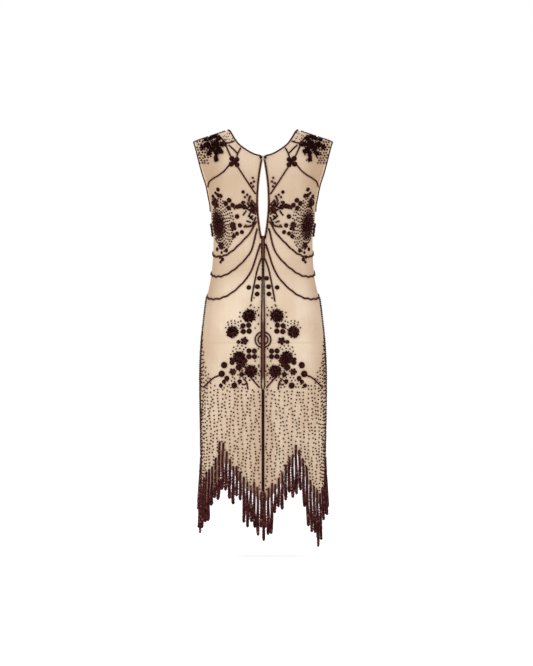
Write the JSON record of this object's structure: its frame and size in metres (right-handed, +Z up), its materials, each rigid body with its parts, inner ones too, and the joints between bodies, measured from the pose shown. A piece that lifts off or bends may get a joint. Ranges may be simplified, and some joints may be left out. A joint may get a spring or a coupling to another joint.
{
  "type": "beaded dress",
  "caption": "Sleeveless sheer dress with a keyhole front, deep V back, bead swags, raised flower rosettes and a pointed hem with beaded fringe.",
  "frame": {"origin": "between the wearer's shoulders, level with the middle of the shoulder seams and in the plane of the side seams", "axes": "+Z up the wearer's body, +X to the right as seen from the front, -Y the way the wearer faces"},
  "size_m": [0.3938, 0.261, 1.1568],
  "materials": {
    "cloth": "sheer champagne net over a matt lining shade",
    "beads": "glossy dark oxblood beads",
    "fringe": "glossy dark oxblood beaded strands"
  },
  "bodies": {
    "root": {"armhole_edge_left": "beads", "armhole_edge_right": "beads", "back": "cloth", "back_neck_edge": "beads", "centre_band": "beads", "centre_line": "beads", "centre_ring_left": "beads", "centre_ring_right": "beads", "chest_line_left": "beads", "chest_line_right": "beads", "chest_strap_left": "beads", "chest_strap_right": "beads", "closure_bead_left": "beads", "closure_bead_right": "beads", "fan_line_left": "beads", "fan_line_right": "beads", "flower_low_left": "beads", "flower_low_right": "beads", "flower_middle_left": "beads", "flower_middle_right": "beads", "flower_side_left": "beads", "flower_side_right": "beads", "flower_top_left": "beads", "flower_top_right": "beads", "fringe_back_left": "fringe", "fringe_back_right": "fringe", "fringe_front_left": "fringe", "fringe_front_right": "fringe", "front_left": "cloth", "front_right": "cloth", "hip_branch_left": "beads", "hip_branch_right": "beads", "keyhole_edge_left": "beads", "keyhole_edge_right": "beads", "medallion_left": "beads", "medallion_right": "beads", "neck_edge_left": "beads", "neck_edge_right": "beads", "neck_line_left": "beads", "neck_line_right": "beads", "shoulder_line_left": "beads", "shoulder_line_right": "beads", "shoulder_rosette_left": "beads", "shoulder_rosette_right": "beads", "side_line_left": "beads", "side_line_right": "beads", "sunburst_left": "beads", "sunburst_right": "beads", "swag_1_left": "beads", "swag_1_right": "beads", "swag_2_left": "beads", "swag_2_right": "beads", "swag_3_left": "beads", "swag_3_right": "beads"}
  },
  "joints": []
}
